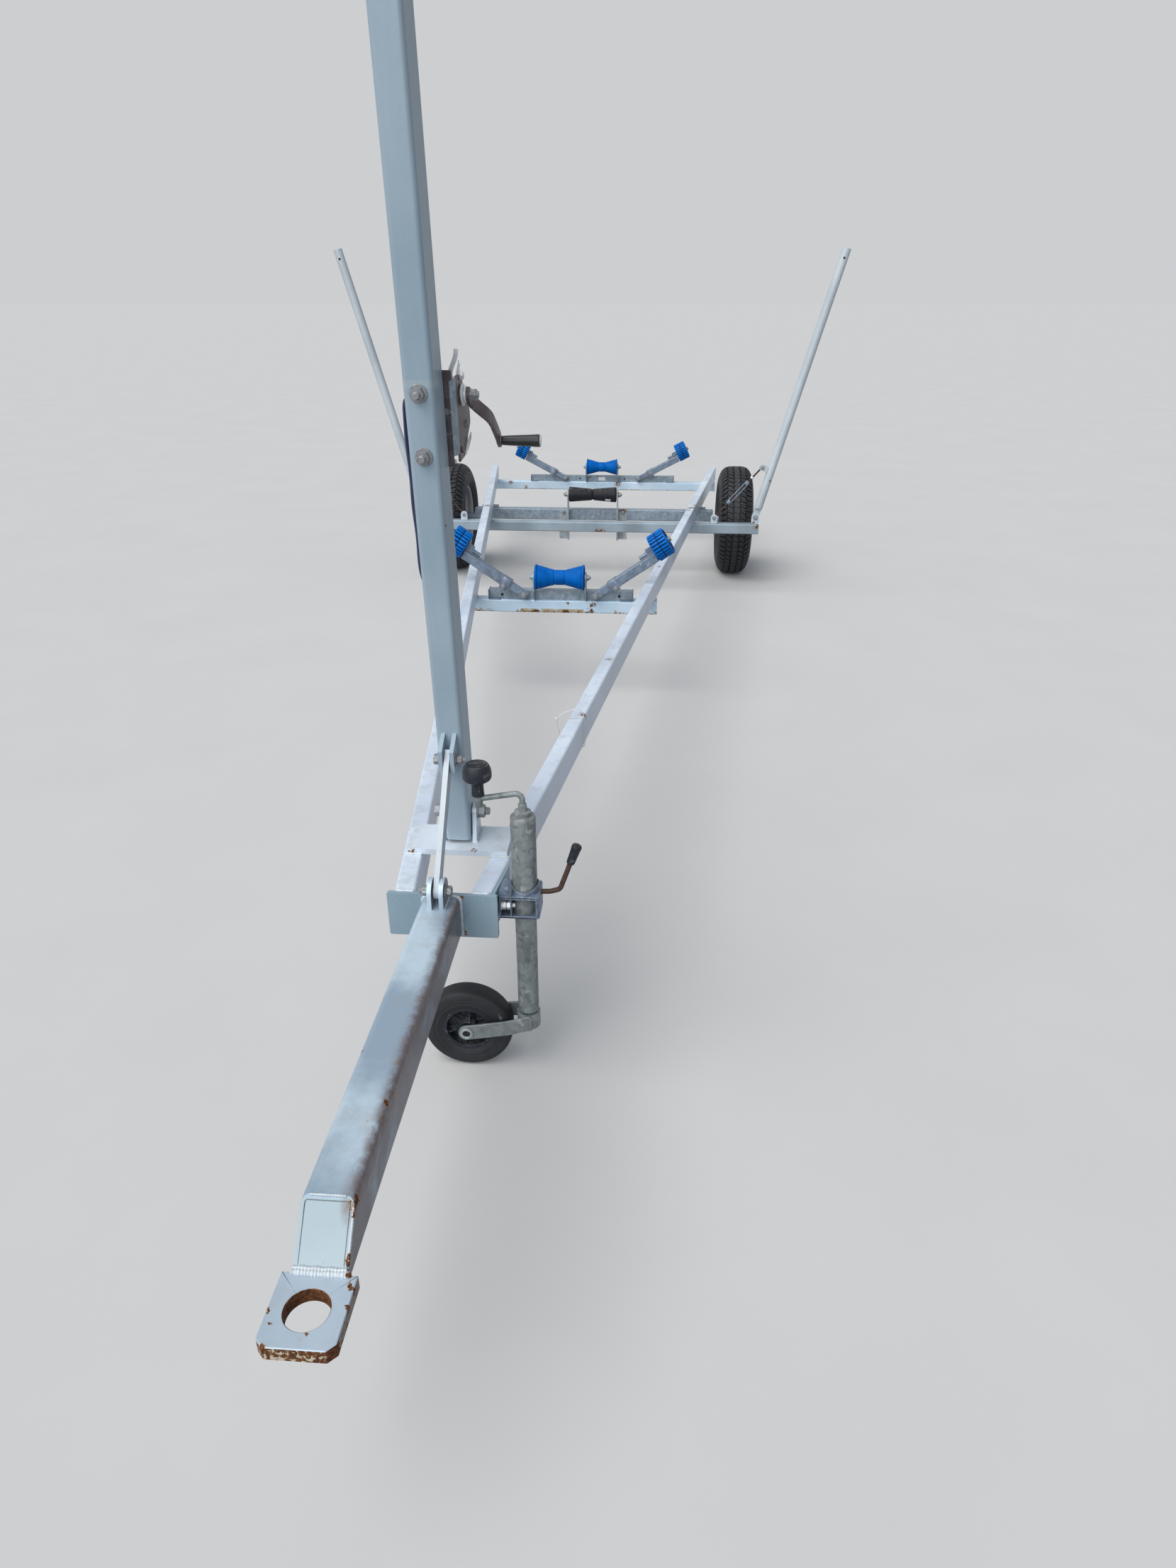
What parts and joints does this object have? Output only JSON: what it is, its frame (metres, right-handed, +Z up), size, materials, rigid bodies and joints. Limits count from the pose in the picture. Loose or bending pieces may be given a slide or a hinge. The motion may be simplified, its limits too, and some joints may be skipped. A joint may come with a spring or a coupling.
{
  "type": "boat trailer",
  "caption": "Boat trailer with two spreading rails, towing eye drawbar, leaning winch mast, jockey wheel, blue keel and side rollers, guide poles and two road wheels.",
  "frame": {"origin": "on the ground, at the middle of the trailer's length and width", "axes": "+Z up, +Y towards the rear along the trailer's length, towing eye at -Y, +X towards the side with the jockey wheel"},
  "size_m": [2.5008, 6.172, 1.9709],
  "materials": {
    "frame_paint": "worn silver-grey paint",
    "galvanised": "dull galvanised steel",
    "tyre": "dusty black rubber",
    "rim_paint": "silver paint",
    "roller_blue": "blue moulded plastic",
    "roller_black": "black rubber",
    "black_plastic": "black moulded plastic",
    "strap": "navy webbing",
    "pole_paint": "chalky light grey paint"
  },
  "bodies": {
    "frame": {"left_rail": "frame_paint", "right_rail": "frame_paint", "front_plate": "frame_paint", "drawbar": "frame_paint", "towing_eye": "frame_paint", "mast_foot": "frame_paint", "front_roller_beam": "frame_paint", "guide_beam": "frame_paint", "axle_beam": "galvanised", "rear_roller_beam": "frame_paint", "front_roller_channel": "galvanised", "rear_roller_channel": "galvanised", "front_arm_left": "galvanised", "front_arm_right": "galvanised", "rear_arm_left": "galvanised", "rear_arm_right": "galvanised", "axle_roller_bracket": "galvanised", "jockey_clamp": "galvanised", "jockey_lever_grip": "black_plastic", "jockey_outer_tube": "galvanised", "jockey_crank": "galvanised", "jockey_knob": "black_plastic"},
    "mast": {"mast": "frame_paint", "winch_frame": "galvanised", "winch_drum": "galvanised", "winch_strap": "strap"},
    "winch_crank": {"winch_crank": "galvanised", "winch_grip": "black_plastic"},
    "mast_strut": {"mast_strut": "frame_paint"},
    "wheel_left": {"tyre_left": "tyre", "rim_left": "rim_paint"},
    "wheel_right": {"tyre_right": "tyre", "rim_right": "rim_paint"},
    "jockey_leg": {"jockey_leg": "galvanised"},
    "jockey_fork": {"jockey_fork": "galvanised"},
    "jockey_wheel": {"jockey_tyre": "tyre", "jockey_rim": "black_plastic"},
    "front_keel_roller": {"front_keel_roller": "roller_blue"},
    "rear_keel_roller": {"rear_keel_roller": "roller_blue"},
    "axle_keel_roller": {"axle_keel_roller": "roller_black"},
    "front_side_roller_left": {"front_side_roller_left": "roller_blue"},
    "front_side_roller_right": {"front_side_roller_right": "roller_blue"},
    "rear_side_roller_left": {"rear_side_roller_left": "roller_blue"},
    "rear_side_roller_right": {"rear_side_roller_right": "roller_blue"},
    "guide_pole_left": {"guide_pole_left": "pole_paint"},
    "turnbuckle_left": {"turnbuckle_left": "galvanised"},
    "turnbuckle_rod_left": {"turnbuckle_rod_left": "galvanised"},
    "guide_pole_right": {"guide_pole_right": "pole_paint"},
    "turnbuckle_right": {"turnbuckle_right": "galvanised"},
    "turnbuckle_rod_right": {"turnbuckle_rod_right": "galvanised"}
  },
  "joints": [
    {"name": "wheel_left_spin", "type": "hinge", "parent": "frame", "child": "wheel_left", "pos_m": [-0.802, 2.096, 0.2945], "axis": [1, 0, 0], "continuous": true},
    {"name": "wheel_right_spin", "type": "hinge", "parent": "frame", "child": "wheel_right", "pos_m": [0.802, 2.096, 0.2945], "axis": [1, 0, 0], "continuous": true},
    {"name": "front_keel_spin", "type": "hinge", "parent": "frame", "child": "front_keel_roller", "pos_m": [0, 0.091, 0.456], "axis": [1, 0, 0], "continuous": true},
    {"name": "rear_keel_spin", "type": "hinge", "parent": "frame", "child": "rear_keel_roller", "pos_m": [0, 2.937, 0.456], "axis": [1, 0, 0], "continuous": true},
    {"name": "axle_keel_spin", "type": "hinge", "parent": "frame", "child": "axle_keel_roller", "pos_m": [0, 2.041, 0.437], "axis": [1, 0, 0], "continuous": true},
    {"name": "front_side_left_spin", "type": "hinge", "parent": "frame", "child": "front_side_roller_left", "pos_m": [-0.39217, 0.094, 0.58993], "axis": [-0.829, 0, 0.5592], "continuous": true},
    {"name": "front_side_right_spin", "type": "hinge", "parent": "frame", "child": "front_side_roller_right", "pos_m": [0.39217, 0.094, 0.58993], "axis": [0.829, 0, 0.5592], "continuous": true},
    {"name": "rear_side_left_spin", "type": "hinge", "parent": "frame", "child": "rear_side_roller_left", "pos_m": [-0.50928, 2.94, 0.55792], "axis": [-0.891, 0, 0.454], "continuous": true},
    {"name": "rear_side_right_spin", "type": "hinge", "parent": "frame", "child": "rear_side_roller_right", "pos_m": [0.50928, 2.94, 0.55792], "axis": [0.891, 0, 0.454], "continuous": true},
    {"name": "mast_fold", "type": "hinge", "parent": "frame", "child": "mast", "pos_m": [0, -2.011, 0.51], "axis": [1, 0, 0], "range_deg": [-75, 0]},
    {"name": "strut_fold", "type": "hinge", "parent": "frame", "child": "mast_strut", "pos_m": [0, -2.252, 0.467], "axis": [1, 0, 0], "range_deg": [0, 75]},
    {"name": "winch_crank_turn", "type": "hinge", "parent": "mast", "child": "winch_crank", "pos_m": [0, -1.98599, 1.30021], "axis": [1, 0, 0], "continuous": true},
    {"name": "jockey_leg_slide", "type": "slide", "parent": "frame", "child": "jockey_leg", "axis": [0, 0, 1], "range_m": [-0.05, 0.15]},
    {"name": "jockey_swivel", "type": "hinge", "parent": "jockey_leg", "child": "jockey_fork", "pos_m": [0.15, -2.164, 0.118], "axis": [0, 0, 1], "continuous": true},
    {"name": "jockey_wheel_spin", "type": "hinge", "parent": "jockey_fork", "child": "jockey_wheel", "pos_m": [0.025, -2.164, 0.0925], "axis": [0, 1, 0], "continuous": true},
    {"name": "pole_left_lean", "type": "hinge", "parent": "frame", "child": "guide_pole_left", "pos_m": [-0.888, 1.67, 0.396], "axis": [0, 1, 0], "range_deg": [-5, 5]},
    {"name": "turnbuckle_left_turn", "type": "hinge", "parent": "frame", "child": "turnbuckle_left", "pos_m": [-0.671, 1.67, 0.39], "axis": [0, 1, 0], "range_deg": [-3.2, 3.2]},
    {"name": "turnbuckle_left_reach", "type": "slide", "parent": "turnbuckle_left", "child": "turnbuckle_rod_left", "axis": [-0.6708, 0, 0.7416], "range_m": [-0.015, 0.015]},
    {"name": "pole_right_lean", "type": "hinge", "parent": "frame", "child": "guide_pole_right", "pos_m": [0.888, 1.67, 0.396], "axis": [0, 1, 0], "range_deg": [-5, 5]},
    {"name": "turnbuckle_right_turn", "type": "hinge", "parent": "frame", "child": "turnbuckle_right", "pos_m": [0.671, 1.67, 0.39], "axis": [0, 1, 0], "range_deg": [-3.2, 3.2]},
    {"name": "turnbuckle_right_reach", "type": "slide", "parent": "turnbuckle_right", "child": "turnbuckle_rod_right", "axis": [0.6708, 0, 0.7416], "range_m": [-0.015, 0.015]}
  ],
  "couplings": [
    {"joint": "strut_fold", "follows": "mast_fold", "ratio": -1},
    {"joint": "turnbuckle_left_turn", "follows": "pole_left_lean", "ratio": 0.57226},
    {"joint": "turnbuckle_left_reach", "follows": "pole_left_lean", "m_per_rad": -0.15691},
    {"joint": "turnbuckle_right_turn", "follows": "pole_right_lean", "ratio": 0.57226},
    {"joint": "turnbuckle_right_reach", "follows": "pole_right_lean", "m_per_rad": 0.15691}
  ]
}
